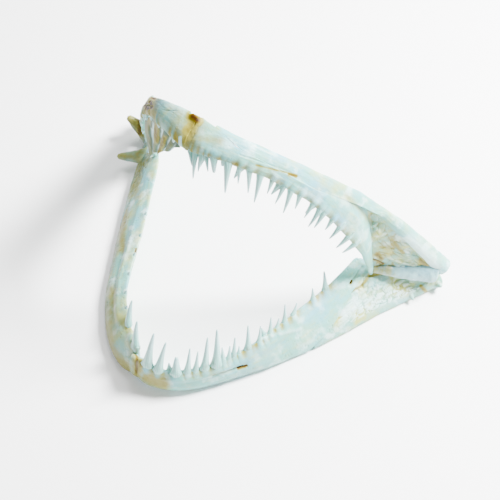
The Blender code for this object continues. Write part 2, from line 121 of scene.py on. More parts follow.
# Dried skin and gristle
SKIN_THICK = 0.7
SKIN_NEAR = (0.6, 0.812)
SKIN_FAR = (0.615, 0.95)
GUM_HANG = ((0.05, 1.5), (0.15, 8), (0.3, 13), (0.5, 13), (0.65, 8), (0.76, 1.2))
GUM_LEAN = ((0.05, 1.5), (0.15, 7), (0.3, 10), (0.5, 10), (0.65, 5), (0.76, 0.6))
PAD_FORE = (67.5, 13.5, 20.2)
PAD_REAR = (90, 32.2, 13.6)
PAD_SIZE = 5

# The midline pads: depth, thickness and half width, and how far below the arch's plane the crown's stands
CHIN_PAD = (16.5, 8.2, 1.8)
CROWN_PAD = (15.2, 7, 1.4)
CROWN_DROP = 6.4

# The photograph's view: heading, height and roll of the camera, and its distance
VIEW_HEADING = radians(45)
VIEW_HEIGHT = radians(56)
VIEW_ROLL = radians(-10)
VIEW_AIM = (1.86, 0, 0)
VIEW_DISTANCE = 510
FOCAL_PIXELS = 1000
PHOTO_SIZE = 500
SENSOR = 36

# Teeth as the photograph shows them: pixel of the root, pixel of the tip, girth as a share of length
LOWER_LEFT_TEETH = ((152, 357, 154, 333, 1.15), (160, 365, 166, 342, 1.1), (187, 370, 190, 348, 1),
    (196, 372, 198, 351, 1), (205, 369, 207.6, 337, 1), (217, 365, 217, 329, 1.1),
    (223, 361, 222, 347, 1.2), (229, 359, 230, 345.6, 1.2), (234, 357, 235, 337, 1),
    (240, 355, 239, 346, 1.2), (249, 350, 248, 325, 1.05), (262, 345, 260.5, 325.6, 1),
    (268, 341, 267, 333, 1.2), (274, 337, 271, 317, 1.05), (281, 332, 279, 318, 1.1),
    (288, 326, 285, 304, 1), (297, 319, 297, 302.6, 1.2), (316, 303, 312.5, 288, 1.2),
    (327, 291, 324, 271, 1.2))
LOWER_LEFT_STUBS = ((176, 368, 176.5, 357, 3.4),)
LOWER_RIGHT_TEETH = ((128, 324, 132, 300, 1.4), (132, 349, 137, 321, 1.35))
LOWER_RIGHT_STUBS = ((135, 352, 134.5, 340, 3.4),)
UPPER_LEFT_TEETH = ((196, 152, 193, 179, 1), (190, 152, 192, 166, 1.2), (202, 153, 198, 172, 1.15),
    (207, 153, 208, 172, 1.1), (229, 160, 225, 193.5, 1.15), (240, 165, 238, 184, 1),
    (250, 168, 248, 193.5, 1), (261, 173, 254, 203, 1), (273, 179, 267, 194, 1.1), (285, 184, 275, 204, 1),
    (291, 190, 283, 213.5, 1), (300, 195, 295, 209, 1.2), (312, 205, 304, 218, 1.1),
    (318, 212, 308, 227, 1.1), (322, 215, 314, 228, 1.2), (331, 221, 325, 230, 1.3),
    (338, 229, 329, 239, 1.3), (345, 240, 336, 248, 1.3), (352, 246, 342, 253, 1.3))
UPPER_LEFT_STUBS = ((215, 154, 214, 173, 2.6), (225, 158, 222, 166, 2))

# Marks that the photograph shows: pixels of a short line's ends, its width in pixels, how far it is
# raised in millimetres, and its tone: 1 pearl, 0 plain bone, -1 straw, -2 rust, -3 a slit painted dark as
# its shadow. Most tones are stains; the darkest, -2.7 and -3, are painted shade in slits and slots, and a
# few pearl lines are painted highlights.
# The second mark here, a dark dash at a groove's end, is painted shade.
LOWER_MARKS = ((213, 376, 243, 367, 1.1, -0.5, -0.35), (238, 369, 247, 366, 0.9, -0.6, -2.7),
    # The second mark here, a pale line along the ledge under the teeth, is a painted highlight.
    (185, 379, 232, 371, 1.4, -0.2, -0.15), (152, 364, 300, 329, 2, 0.25, 0.5),
    (137, 353, 136, 373, 2.2, -0.3, -1.4), (137, 352, 137, 375, 9, 0, -0.6),
    (146, 378, 164, 385, 7, 0, -0.7), (112, 352, 128, 368, 8, 0, -0.55),
    # The second mark here, a dark dot in a slot, is painted shade.
    (350, 285, 362, 267, 1.6, -1, -0.2), (351, 283, 352, 281, 1, -0.9, -3),
    # The first mark here, a dark slit, is painted shade; the second, down the right arm's edge, is partly
    # stain and partly painted shade.
    (136, 249, 135, 255, 0.8, -0.5, -3), (112, 290, 110, 350, 8, 0, -0.45),
    (125, 205, 121, 250, 4.5, 0, -0.6), (139, 175, 136, 196, 5, 0, -0.4))
WEDGE_MARKS = ((343, 295, 362, 286, 1.8, -0.45, -0.6), (362, 286, 369, 276, 2.2, -0.45, -0.6),
    (369, 276, 389, 271, 2.2, -0.3, -0.8), (339, 318, 369, 303, 1.3, -0.15, -0.4),
    (345, 312, 408, 292, 9, 0, 0.5), (421, 286, 426, 292, 2.2, 0, -0.8), (140, 118, 140, 133, 3.6, 0, -1.4),
    (126, 115, 146, 133, 6, 0, -0.7), (140, 135, 137, 190, 7, 0, -0.45), (118, 155, 133, 157, 3, 0, -0.5))
UPPER_MARKS = ((193, 117, 198, 121, 3.2, 0.9, -2.4), (192, 117, 197, 121, 6.5, 0, -1.3),
    (193, 123, 189, 131, 8, 0, -1), (193, 120, 187, 140, 12, 0, -0.7), (190, 128, 186, 146, 20, 0, -0.5),
    # The third mark here, a pale streak down a ridge, is a painted highlight.
    (200, 138, 220, 141, 6, 0, -0.45), (178, 114, 176, 138, 10, 0, -0.4), (181, 138, 180, 148, 2.2, 0.3, 1),
    (256, 165, 288, 173, 1.2, -0.15, -0.6), (289, 174, 296, 176, 1.7, 0, -1.35),
    (240, 155, 290, 172, 1, -0.15, 0), (346, 196, 370, 221, 3, -0.15, -0.35),
    (200, 152, 240, 166, 3, 0, -0.4), (410, 243, 434, 266, 9, 0, 0.8), (148, 98, 150, 112, 7, 0, -0.6),
    (145, 103, 147, 108, 2.6, -0.6, -2.4), (150, 102, 151, 107, 2.2, -0.6, -2.4),
    (150, 96, 154, 98, 2, -0.5, -2.2))
SKIN_MARKS = ((377, 254, 381, 258, 2.8, 0, -1.2), (386, 271, 393, 267, 3, 0, -1.1),
    # The second mark here, a slit where the skin lifts off, is painted dark as its shadow.
    (421, 260, 427, 267, 3.2, 0, -0.9), (373, 259, 383, 264, 0.9, -0.7, -3),
    (355, 205, 372, 222, 2.5, -0.2, -0.4), (392, 240, 403, 252, 3, -0.2, -0.7),
    (152, 120, 162, 145, 4, 0, -0.9), (166, 138, 160, 152, 2.5, 0, -0.8))

# The right half's rows: share of the arch and length
LOWER_RIGHT_SMALL = ((0.22, 2.6), (0.29, 2.4), (0.36, 2.6), (0.43, 2.2), (0.5, 2.4), (0.58, 2))
UPPER_RIGHT_SMALL = ((0.06, 2), (0.16, 2), (0.26, 2.4), (0.35, 3), (0.42, 3), (0.49, 2), (0.56, 2),
    (0.64, 2), (0.71, 2))

UPPER_INNER = ((0.05, 6), (0.17, 6.5), (0.3, 6.5), (0.43, 5.5))
LOWER_INNER = ((0.13, 4), (0.28, 4.5), (0.44, 3.5))
INNER_INSET = 1.6

# The mouth's right corner in the photograph, and how many pleats a radian the skin's fan has there
FAN_CENTRE = (153, 170)
FAN_PLEATS = 26
SKIN_CENTRE = (438, 272)

# Where the midline, the arches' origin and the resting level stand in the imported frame
PAD_LOW, PAD_HIGH = (np.array(corner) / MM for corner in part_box("lower_symphysis"))
ORIGIN = np.array([(PAD_LOW[0] + PAD_HIGH[0]) / 2, PAD_LOW[1] + LOWER_PAD_FRONT, -REST_LEVEL])
ROOM_LOW, ROOM_HIGH = (np.array(corner) / MM - ORIGIN for corner in CAD_BOX)


class Arch:
    """A plan curve read by share of its length, for whole arrays of shares at once."""

    def __init__(self, control):
        u = np.linspace(0, 1, ARCH_SAMPLES)[:, None]
        a, b, c, d = (np.array(p) for p in control)
        self.points = (1 - u) ** 3 * a + 3 * u * (1 - u) ** 2 * b + 3 * u * u * (1 - u) * c + u ** 3 * d
        steps = np.linalg.norm(np.diff(self.points, axis=0), axis=1)
        self.length = steps.sum()
        self.share = np.concatenate(([0], np.cumsum(steps))) / self.length

    def at(self, share):
        """Places on the curve for a column of shares: its points interpolated by length."""
        return np.hstack([np.interp(share, self.share, self.points[:, i]) for i in (0, 1)])

    def along(self, share):
        """Unit steps along the curve: the difference of two places one hundredth either way."""
        return unit(self.at(np.minimum(share + 0.01, 1)) - self.at(np.maximum(share - 0.01, 0)))


LOWER = Arch(LOWER_ARCH)
UPPER = Arch(UPPER_ARCH)


def read(table, share):
    """A table of (share, value) rows, read at an array of shares and eased over each corner."""
    xs, ys = np.array(table).T
    ease = 0.012
    steps = np.linspace(-1, 1, 7)
    weight = 1 - np.abs(steps) * 0.8
    share = np.asarray(share, float)
    total = sum(w * np.interp(share + s * ease, xs, ys) for s, w in zip(steps, weight))
    return total / weight.sum()


def unit(v):
    return v / np.linalg.norm(v, axis=-1, keepdims=True)


def stacked(*parts):
    """Arrays and numbers broadcast together and set side by side along a last axis."""
    return np.stack(np.broadcast_arrays(*parts), axis=-1)


def mirrored(v, side):
    return v * np.array([side, 1, 1])


def lower_frame(side, share):
    """Foot of the lower jaw's outer face, its way up the face, through the bone and inwards."""
    share = np.reshape(share, (-1, 1))
    way = LOWER.along(share)
    inward = stacked(-way[:, 1], way[:, 0], 0)
    spread = read(SPREAD_LEFT if side > 0 else SPREAD_RIGHT, share)
    lean = np.radians(read(LEAN_LEFT if side > 0 else LEAN_RIGHT, share))
    rise = inward * np.sin(lean) + UPWARD * np.cos(lean)
    through = inward * np.cos(lean) - UPWARD * np.sin(lean)
    lift = read(LOWER_THICK, share) * 0.5 * np.sin(lean) + LOWER_ARCHING * np.sin(pi * share)
    return np.hstack((LOWER.at(share), lift)) - inward * spread, rise, through, inward


def lower_depth(side, share):
    return read(LOWER_DEPTH, share) * (read(RIGHT_DEEPER, share) if side < 0 else 1)


def upper_frame(share, inset=0):
    """Places on the upper jaw's plane, its way of drop and the ways inwards."""
    share = np.reshape(share, (-1, 1))
    place = UPPER.at(share)
    way = UPPER.along(share)
    reach = np.array([0, -cos(GAPE), sin(GAPE)])
    drop = np.array([0, -sin(GAPE), -cos(GAPE)])
    across = np.array([1, 0, 0])
    middle = np.array([0, *HINGE]) + across * place[:, :1] + reach * place[:, 1:]
    inward = across * way[:, 1:] - reach * way[:, :1]
    return middle + inward * inset, np.broadcast_to(drop, middle.shape), inward


def upper_edge(share, table, short, across):
    """A line along the tooth-bearing bone of the upper jaw: short of a table's depth, and inwards by a
    part of the bone's thickness.
    """
    place, drop, inward = upper_frame(share, read(UPPER_INSET, share))
    edge = place + drop * (read(table, share) - short) + inward * (read(UPPER_THICK, share) * across)
    return edge, drop, inward


# Noise on arrays of points

def lattice(cell, seed):
    """A random number in 0 to 1 for each integer cell, hashed from its three coordinates."""
    c = cell.astype(np.int64)
    h = (c[..., 0] * 374761393 + c[..., 1] * 668265263 + c[..., 2] * 2147483647
         + seed * 974634777) & 0xFFFFFFFF
    h = ((h ^ (h >> 13)) * 1274126177) & 0xFFFFFFFF
    h = ((h ^ (h >> 16)) * 2246822519) & 0xFFFFFFFF
    return ((h ^ (h >> 15)) & 0xFFFFFF) / float(0xFFFFFF)


def smooth_noise(points, seed):
    """Value noise, -1 to 1: the eight corners' numbers blended by an eased place in the cell."""
    cell = np.floor(points)
    t = points - cell
    t = t * t * t * (t * (t * 6 - 15) + 10)
    total = 0
    for corner in np.ndindex(2, 2, 2):
        weight = np.prod(np.where(corner, t, 1 - t), axis=-1)
        total = total + weight * lattice(cell + corner, seed)
    return total * 2 - 1


def layered(points, octaves, seed):
    """Noise summed over octaves, each twice as fine and half as strong."""
    total = 0
    for k in range(octaves):
        total = total + smooth_noise(points * 2 ** k + 17.3 * k, seed + k) * 0.5 ** k
    return total / (2 - 0.5 ** (octaves - 1))


def nearest_cells(points, seed):
    """Distances to the nearest and second nearest of one jittered seed point in each cell."""
    cell = np.floor(points)
    first = np.full(points.shape[:-1], 9)
    second = first.copy()
    for move in np.ndindex(3, 3, 3):
        near = cell - 1 + move
        jitter = stacked(*(lattice(near, seed + k) for k in (11, 23, 37)))
        far = np.linalg.norm(near + jitter - points, axis=-1)
        second = np.minimum(second, np.maximum(first, far))
        first = np.minimum(first, far)
    return first, second


def step(x, low, high):
    """0 below low, 1 above high, eased between."""
    t = np.clip((x - low) / (high - low), 0, 1)
    return t * t * (3 - 2 * t)


def bell(x, centre, width):
    return np.exp(-((x - centre) / width) ** 2)


# Surfaces

def blade(share, ways, depth, thick, low, high, rim_share, sides):
    """A bone of flattened oval section from its foot, rise and way through: height from low to high of
    its depth, width that of an ellipse times the girth, which narrows towards the rim; a cut edge is
    rounded over a short way.
    """
    foot, rise, through = (way[:, None] for way in ways[:3])
    low = low + 0 * share
    v = (np.arange(sides) + 0.5) * TAU / sides
    s = low + (high - low) * (0.5 - 0.5 * np.cos(v))
    near_low = np.clip((s - low) * depth / EDGE_ROUND, 0, 1)
    near_high = np.clip((high - s) * depth / EDGE_ROUND, 0, 1)
    soften = np.where(low > 0.002, np.sqrt(1 - (1 - near_low) ** 2), 1)
    soften = soften * np.where(high < 0.998, np.sqrt(1 - (1 - near_high) ** 2), 1)
    girth = thick * (rim_share + (1 - rim_share) * (1 - s))
    spread = np.sqrt(np.clip(s * (1 - s), 0, 1)) * soften * np.sign(np.sin(v))
    off = girth * (0.5 - spread)
    points = foot + (s * depth)[..., None] * rise + off[..., None] * through
    return points, stacked(share, s, np.sin(v))


def normals(points, closed):
    """Unit normals of a grid: the cross product of its steps along and across, turned outwards."""
    along = np.gradient(points, axis=0)
    if closed:
        across = np.roll(points, -1, axis=1) - np.roll(points, 1, axis=1)
    else:
        across = np.gradient(points, axis=1)
    found = unit(np.cross(along, across) + 1e-12)
    if closed:
        out = points - points.mean(axis=1, keepdims=True)
        if (found * out).sum() < 0:
            found = -found
    return found


def raised(points, height, closed=True):
    """The grid moved along its normals by a height at each point."""
    return points + normals(points, closed) * height[..., None]


def domed(points, grain, front, rear, rings=7):
    """Extra rings that close both ends: each end ring shrinks as a cosine while it moves out as a sine."""
    def dome(ring, inner, size):
        centre = ring.mean(axis=0)
        out = unit(centre - inner.mean(axis=0))
        reach = np.linalg.norm(ring - centre, axis=1).mean() * size
        turn = np.linspace(0, pi / 2, rings + 1)[1:]
        scale = np.maximum(np.cos(turn), 0.02)[:, None, None]
        return centre + (ring - centre) * scale + out * reach * np.sin(turn)[:, None, None]
    head = dome(points[0], points[1], front)[::-1]
    tail = dome(points[-1], points[-2], rear)
    grain = np.concatenate((np.repeat(grain[:1], rings, axis=0), grain, np.repeat(grain[-1:], rings, axis=0)))
    return np.concatenate((head, points, tail)), grain


def grid_faces(rows, cols, closed):
    """Corner numbers of a grid's quads, with the last column joined to the first when closed."""
    r = np.arange(rows - 1)[:, None]
    c = np.arange(cols if closed else cols - 1)
    d = (c + 1) % cols
    return stacked(r * cols + c, r * cols + d, (r + 1) * cols + d, (r + 1) * cols + c).reshape(-1, 4)


def solid_volume(points, quads):
    """Six times the signed volume of the quads: positive when their corners turn outwards."""
    a, b, c, d = (points[quads[:, k]] for k in range(4))
    return (np.einsum("ij,ij->i", a, np.cross(b, c)) + np.einsum("ij,ij->i", a, np.cross(c, d))).sum()


def placed(name, data, axes=None, spot=None):
    """A new object in the scene, turned by its right, up and back ways at a spot in millimetres."""
    made = bpy.data.objects.new(name, data)
    bpy.context.scene.collection.objects.link(made)
    if axes:
        turn = np.eye(4)
        turn[:3, :3] = np.stack(axes, axis=1)
        turn[:3, 3] = spot * MM
        made.matrix_world = Matrix(turn.tolist())
    return made


def make_piece(name, points, faces, grain, finish, slot, nodes=()):
    """A finished piece from corner points in millimetres; its grain attribute serves the material."""
    points = np.clip(points, ROOM_LOW + MARGIN, ROOM_HIGH - MARGIN)
    mesh = bpy.data.meshes.new(name)
    mesh.from_pydata(((points + ORIGIN) * MM).tolist(), [], faces)
    mesh.shade_smooth()
    layer = mesh.attributes.new("grain", "FLOAT_VECTOR", "POINT")
    layer.data.foreach_set("vector", np.asarray(grain, np.float32).reshape(-1))
    mesh.materials.append(finish)
    piece = placed(name, mesh)
    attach(piece, "root")
    if nodes:
        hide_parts(*nodes)


def tube_mesh(points, grain, side):
    """Flat arrays of a closed grid, mirrored to its side, with a fan closing each end."""
    rows, cols = points.shape[:2]
    flat = mirrored(points.reshape(-1, 3), side)
    ends = np.array([flat[:cols].mean(axis=0), flat[-cols:].mean(axis=0)])
    quads = grid_faces(rows, cols, True)
    ring = np.arange(cols)
    nxt = (ring + 1) % cols
    last = (rows - 1) * cols
    front = stacked(nxt, ring, rows * cols)
    rear = stacked(last + ring, last + nxt, rows * cols + 1)
    turn = -1 if solid_volume(flat, quads) < 0 else 1
    faces = [face for part in (quads, front, rear) for face in part[:, ::turn].tolist()]
    return np.concatenate((flat, ends)), faces, np.concatenate((grain.reshape(-1, 3), grain[[0, -1], 0]))


def sheet_mesh(grid, grain, side):
    """Flat arrays of a thin closed sheet: the grid moved half its thickness both ways, and a rim."""
    lift = normals(grid, False) * (SKIN_THICK / 2)
    rows, cols = grid.shape[:2]
    flat = mirrored(np.concatenate(((grid + lift).reshape(-1, 3), (grid - lift).reshape(-1, 3))), side)
    count = rows * cols
    quads = grid_faces(rows, cols, False)
    rim = np.concatenate((np.arange(cols), np.arange(1, rows) * cols + cols - 1,
                          (rows - 1) * cols + np.arange(cols - 2, -1, -1), np.arange(rows - 2, 0, -1) * cols))
    nxt = np.roll(rim, -1)
    faces = np.concatenate((quads, quads[:, ::-1] + count, stacked(nxt, rim, rim + count, nxt + count)))
    if solid_volume(flat, faces) < 0:
        faces = faces[:, ::-1]
    return flat, faces.tolist(), np.tile(grain.reshape(-1, 3), (2, 1))


def joined(parts):
    """Several (points, faces, grain) sets as one."""
    points, faces, grain = [], [], []
    start = 0
    for p, f, g in parts:
        points.append(p)
        grain.append(g)
        faces += [[k + start for k in face] for face in f]
        start += len(p)
    return np.concatenate(points), faces, np.concatenate(grain)


def marked(points, side, marks, closed=True):
    """Height and tone of the photograph's marks: for each, a bell of the distance in pixels to a
    short line, on the faces that the camera sees.
    """
    seen = step(mirrored(normals(points, closed), side) @ BACK, -0.1, 0.25) if closed else 1
    shown = pixels(mirrored(points, side))
    height, tone = np.zeros((2, *points.shape[:-1]))
    for *ends, width, lift, strength in marks:
        start, end = np.array(ends, float).reshape(2, 2)
        way = end - start
        t = np.clip((shown - start) @ way / (way @ way), 0, 1)
        near = seen * bell(np.linalg.norm(shown - start - t[..., None] * way, axis=-1), 0, width)
        height = height + near * lift
        tone = np.where(np.abs(near * strength) > np.abs(tone), near * strength, tone)
    return np.stack([height, tone])


def in_sight(side, share):
    """1 where the photograph shows the upper bones, falling to 0 along the right half's hidden end."""
    return step(share, OUT_OF_SIGHT, IN_SIGHT) if side < 0 else 1


# Camera

def view_axes():
    """The camera's right, up and backward ways."""
    level = np.array([cos(VIEW_HEADING), sin(VIEW_HEADING), 0])
    back = cos(VIEW_HEIGHT) * np.array([sin(VIEW_HEADING), -cos(VIEW_HEADING), 0]) + sin(VIEW_HEIGHT) * UPWARD
    steep = np.cross(back, level)
    return (cos(VIEW_ROLL) * level + sin(VIEW_ROLL) * steep, -sin(VIEW_ROLL) * level + cos(VIEW_ROLL) * steep,
            back)


RIGHT, UP, BACK = view_axes()
EYE = np.array(VIEW_AIM) + BACK * VIEW_DISTANCE


def add_camera():
    lens = bpy.data.cameras.new("camera")
    lens.sensor_width = SENSOR
    lens.lens = FOCAL_PIXELS * SENSOR / PHOTO_SIZE
    lens.clip_start = 0.01
    bpy.context.scene.camera = placed("camera", lens, (RIGHT, UP, BACK), EYE + ORIGIN)


def pixels(points):
    """Pixels of points in the photograph's frame."""
    seen = points - EYE
    away = -(seen @ BACK)
    return stacked(PHOTO_SIZE / 2 + FOCAL_PIXELS * (seen @ RIGHT) / away,
                   PHOTO_SIZE / 2 - FOCAL_PIXELS * (seen @ UP) / away)


def ray(pixel):
    """The way from the camera through a pixel."""
    x = (pixel[0] - PHOTO_SIZE / 2) / FOCAL_PIXELS
    y = (PHOTO_SIZE / 2 - pixel[1]) / FOCAL_PIXELS
    return unit(RIGHT * x + UP * y - BACK)


# Teeth

TOOTH_SIDES = 20
TOOTH_RINGS = 22
RIM_STEPS = 600
TOOTH_SUNK = 3.6
TOOTH_LEAN = radians(26)
TOOTH_FOOT = {"lower": 0.6, "upper": 0.3}
TOOTH_BLUNT = {"lower": 0.22, "upper": 0.14}


def tooth(base, tip, radius, bow, wide, blunt=0, foot=0.42):
    """A curved cone: rings on a bowed line from root to tip, widened along the jaw by a share foot at
    the root, each radius falling as a power of what is left of the length; blunt keeps a share of it
    at the top.
    """
    t = np.concatenate((np.linspace(-0.999, 0, 5)[:-1], np.linspace(0, 1, TOOTH_RINGS) ** 0.9))[:, None]
    length = np.linalg.norm(tip - base)
    way = (tip - base) / length
    along = np.where(t < 0, t * TOOTH_SUNK, t * length)
    climb = np.clip(t, 0, 1)
    middle = (base + way * along + bow * (climb * (1 - climb)) * length)[:, None]
    left = 1 - climb
    size = radius * (0.84 * left ** 0.8 + 0.16 * np.sqrt(left)) * (1 - blunt) + radius * blunt * left ** 0.12
    flare = np.exp(-np.clip(along, 0, None) / (0.8 + 0.15 * length))
    size = size * (1 - 0.6 * np.clip(-along / TOOTH_SUNK, 0, 1))
    size[-1] = 0.02
    angle = np.arange(TOOTH_SIDES) * TAU / TOOTH_SIDES
    side = unit(wide - way * (wide @ way))
    ring = (np.cos(angle)[:, None] * side * (size * (1 + foot * flare))[..., None]
            + np.sin(angle)[:, None] * np.cross(way, side) * size[..., None])
    flute = 1 + 0.06 * np.cos(angle * 7)[:, None] * flare[..., None]
    return middle + ring * flute, stacked(climb, angle / TAU, 0)


def rim_line(jaw, side):
    """Places, outward-leaning ways and steps along the line that a row of teeth grows from."""
    if jaw == "lower":
        share = np.linspace(0.015, 0.78, RIM_STEPS)[:, None]
        foot, rise, through, inward = lower_frame(side, share)
        base = foot + rise * (lower_depth(side, share) - 0.5) + through * (read(LOWER_THICK, share) * 0.27)
        hang = UPWARD
    else:
        share = np.linspace(0, 0.74, RIM_STEPS)[:, None]
        base, hang, inward = upper_edge(share, UPPER_ROOT, 0.6, 0.45)
    hang = unit(hang * cos(TOOTH_LEAN) + inward * sin(TOOTH_LEAN))
    base, hang, inward = (mirrored(v, side) for v in (base, hang, inward))
    return share, base, hang, unit(np.gradient(base, axis=0)), inward


def seen_teeth(jaw, side, rows, stubs):
    """Teeth that the photograph shows: the root is the rim's place nearest its pixel, and the tip
    is where the tip's pixel meets the sheet that the row's teeth lean in.
    """
    share, base, hang, along, inward = rim_line(jaw, side)
    shown = pixels(base)
    parts = []
    shares = []
    for row in rows + stubs:
        k = np.argmin(np.linalg.norm(shown - row[:2], axis=1))
        sheet = unit(np.cross(hang[k], along[k]))
        look = ray(row[2:4])
        tip = EYE + look * (((base[k] - EYE) @ sheet) / (look @ sheet))
        stub = row in stubs
        radius = row[4] * (1 if stub else 0.42 + 0.07 * np.linalg.norm(tip - base[k]))
        grid = tooth(base[k], tip, radius * (0.6 if stub else 1), inward[k] * -0.1, along[k],
                     0.45 if stub else TOOTH_BLUNT[jaw], TOOTH_FOOT[jaw])
        parts.append(tube_mesh(*grid, 1))
        shares.append((share[k, 0], radius))
    return parts, shares


def small_teeth(jaw, side, rows, inset=0):
    """Small teeth square to the rim, by share and length, set an inset inwards of the main row."""
    share, base, hang, along, inward = rim_line(jaw, side)
    base = base + inward * inset
    parts = []
    shares = []
    for place, length in rows:
        k = np.argmin(np.abs(share - place))
        radius = 0.7 + 0.12 * length
        grid = tooth(base[k], base[k] + hang[k] * length, radius, inward[k] * -0.1, along[k], 0.12)
        parts.append(tube_mesh(*grid, 1))
        shares.append((place, radius))
    return parts, shares


def sockets(share, s, teeth, length, depth):
    """Height and tone of the tooth roots: a bell along the jaw at each tooth that fades down the
    face, raised there and sunk and yellower between.
    """
    swell = 0
    hold = 0
    row = 0
    for place, radius in teeth:
        beside = (share - place) * length
        swell = np.maximum(swell, bell(beside, 0, 0.9 + radius))
        hold = np.maximum(hold, bell(beside, 0, 0.3 + radius))
        row = np.maximum(row, bell(beside, 0, 4))
    fall = (1 - s) * depth
    near = np.exp(-(fall / 3.4) ** 2)
    return near * step(fall, -0.2, 0.9) * (0.8 * swell - 0.35 * row), near * row * (hold - 0.8) * 1.2


# Shader maths

class Field:
    """A number or a colour worked out by a shader; operators add Math nodes to its tree."""

    def __init__(self, finish, socket):
        self.finish = finish
        self.socket = socket

    def math(self, operation, first, second):
        return self.finish.out(0, "Math", {0: first, 1: second}, operation=operation)

    def __add__(self, other):
        return self.math("ADD", self, other)

    __radd__ = __add__

    def __sub__(self, other):
        return self.math("SUBTRACT", self, other)

    def __rsub__(self, other):
        return self.math("SUBTRACT", other, self)

    def __mul__(self, other):
        return self.math("MULTIPLY", self, other)

    __rmul__ = __mul__

    def above(self, low, high):
        """0 below low and 1 above high, eased between; it falls instead when low is the larger."""
        return self.finish.out("Result", "MapRange", {"Value": self, "From Min": low, "From Max": high},
                               interpolation_type="SMOOTHSTEP")


class Finish:
    """One material: its Principled shader, and short calls for the nodes that vary it."""

    def __init__(self, name, **settings):
        self.material = bpy.data.materials.new(name)
        self.material.use_nodes = True
        self.tree = self.material.node_tree
        self.shader = self.tree.nodes["Principled BSDF"]
        self.shader.inputs["Subsurface Radius"].default_value = FLESH_RADIUS
        for key, value in settings.items():
            self.shader.inputs[key.replace("_", " ")].default_value = value
        self.place = self.out("Object", "TexCoord", {})
        grain = self.out("Vector", "Attribute", {}, attribute_name="grain")
        parts = self.add("SeparateXYZ", {"Vector": grain})
        self.share, self.height, self.tone = (Field(self, parts.outputs[k]) for k in range(3))

    def add(self, kind, inputs, **settings):
        """A node of a kind, its settings made first, then its inputs set or linked."""
        node = self.tree.nodes.new("ShaderNode" + kind)
        for key, value in settings.items():
            setattr(node, key, value)
        for key, value in inputs.items():
            self.feed(node.inputs[key], value)
        return node

    def out(self, key, kind, inputs, **settings):
        """What a new node gives at its output key."""
        return Field(self, self.add(kind, inputs, **settings).outputs[key])

    def feed(self, socket, value):
        """Links a worked-out value to a socket, or sets a plain one."""
        if isinstance(value, Field):
            self.tree.links.new(value.socket, socket)
        elif isinstance(value, tuple) and socket.type == "RGBA":
            socket.default_value = (*value, 1)
        else:
            socket.default_value = value

    def spread(self, size, seed):
        """Object coordinates in units of a size in millimetres, moved by a seed."""
        scaled = self.out(0, "VectorMath", {0: self.place, "Scale": 1 / (size * MM)}, operation="SCALE")
        return self.out(0, "VectorMath", {0: scaled, 1: (seed, seed, 0)}, operation="ADD")

    def noise(self, size, detail=4, seed=0):
        """Noise of a size in millimetres."""
        return self.out("Fac", "TexNoise", {"Vector": self.spread(size, seed), "Scale": 1, "Detail": detail})

    def streaks(self, along, across):
        """Noise drawn out along the piece, by its share and height."""
        vector = self.out(0, "CombineXYZ", {"X": self.share * along, "Y": self.height * across})
        return self.out("Fac", "TexNoise", {"Vector": vector, "Scale": 1, "Detail": 5})

    def cells(self, size):
        """Distance to the nearest of points about a size in millimetres apart."""
        return self.out("Distance", "TexVoronoi", {"Vector": self.spread(size, 0), "Scale": 1})

    def mix(self, factor, first, second):
        """A colour between two, each a tuple or a colour worked out before."""
        return self.out(2, "Mix", {0: factor, 6: first, 7: second}, data_type="RGBA")

    def wear(self, colour, rough, bump, distance):
        """Feeds the varied colour, roughness and bump to the shader."""
        normal = self.out("Normal", "Bump", {"Height": bump, "Distance": distance * MM})
        for key, value in (("Base Color", colour), ("Roughness", rough), ("Normal", normal)):
            self.feed(self.shader.inputs[key], value)
        return self.material


def srgb(red, green, blue):
    """A linear colour from 0 to 255 values as a screen shows them."""
    return tuple((v / 255) ** 2.2 for v in (red, green, blue))


MINT = srgb(104, 170, 158)
BLUISH = srgb(100, 164, 186)
PEARL = srgb(192, 224, 222)
CREAM = srgb(166, 172, 92)
HONEY = srgb(126, 122, 56)
STRAW = srgb(92, 78, 4)
RUST = srgb(62, 40, 0)
DARK = srgb(16, 12, 10)
# Grey-brown for painted shade, and for the right bar end's own grey stain
ASH = srgb(60, 60, 32)
SLATE = srgb(92, 134, 144)
FLESH_RADIUS = (1, 0.8, 0.6)


